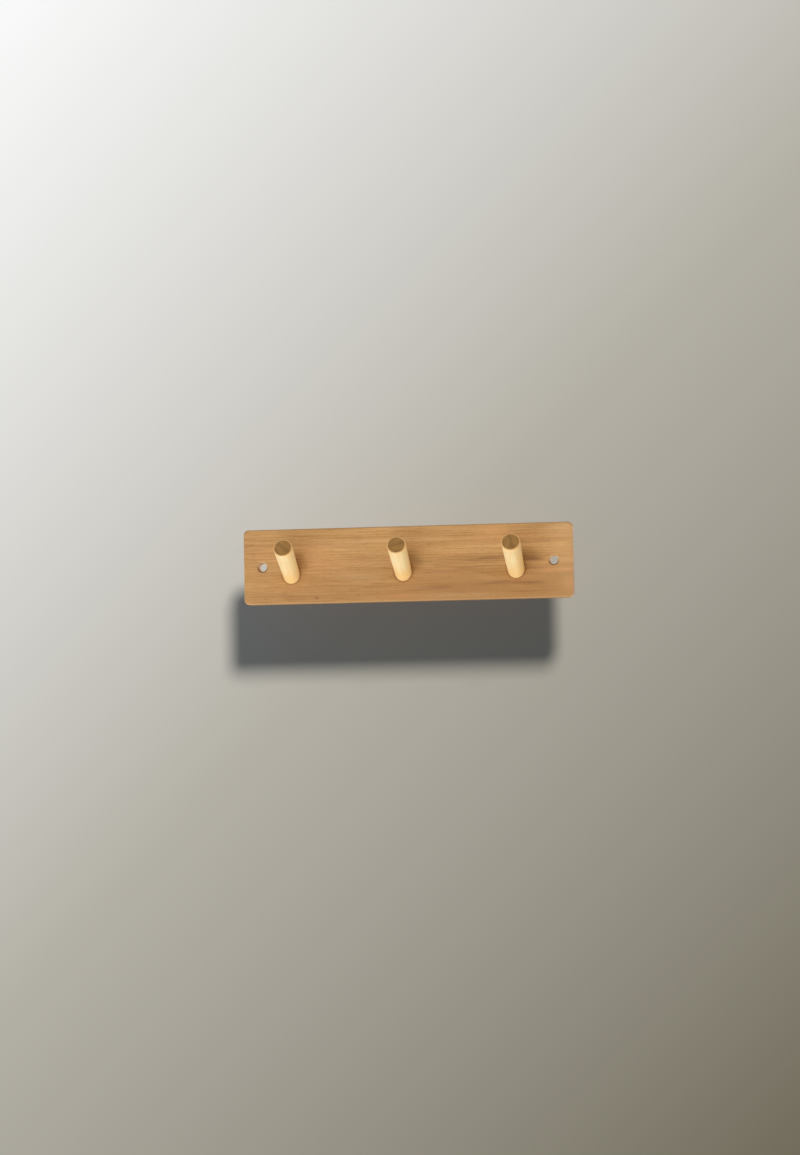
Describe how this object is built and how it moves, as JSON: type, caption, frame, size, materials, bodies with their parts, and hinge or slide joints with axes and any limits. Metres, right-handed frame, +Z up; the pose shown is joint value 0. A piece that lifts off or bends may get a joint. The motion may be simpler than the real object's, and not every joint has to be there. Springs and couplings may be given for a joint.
{
  "type": "wall peg rack",
  "caption": "Flat wooden wall board with a row of round pegs that lean up and out to hang coats on, screwed to the wall through a countersunk hole near each end.",
  "frame": {"origin": "middle of the board's back face, which lies against the wall", "axes": "+X along the board to the right as seen from the room, +Y into the wall, +Z up; the pegs reach out along -Y and up"},
  "size_m": [0.3, 0.0641, 0.068],
  "materials": {
    "oiled_wood": "oiled, satin, grain along the length",
    "pale_wood": "turned and sanded, unfinished",
    "zinc_steel": "zinc plated"
  },
  "bodies": {
    "root": {"backboard": "oiled_wood", "peg_left": "pale_wood", "peg_middle": "pale_wood", "peg_right": "pale_wood", "peg_screw_left": "zinc_steel", "peg_screw_middle": "zinc_steel", "peg_screw_right": "zinc_steel"}
  },
  "joints": []
}
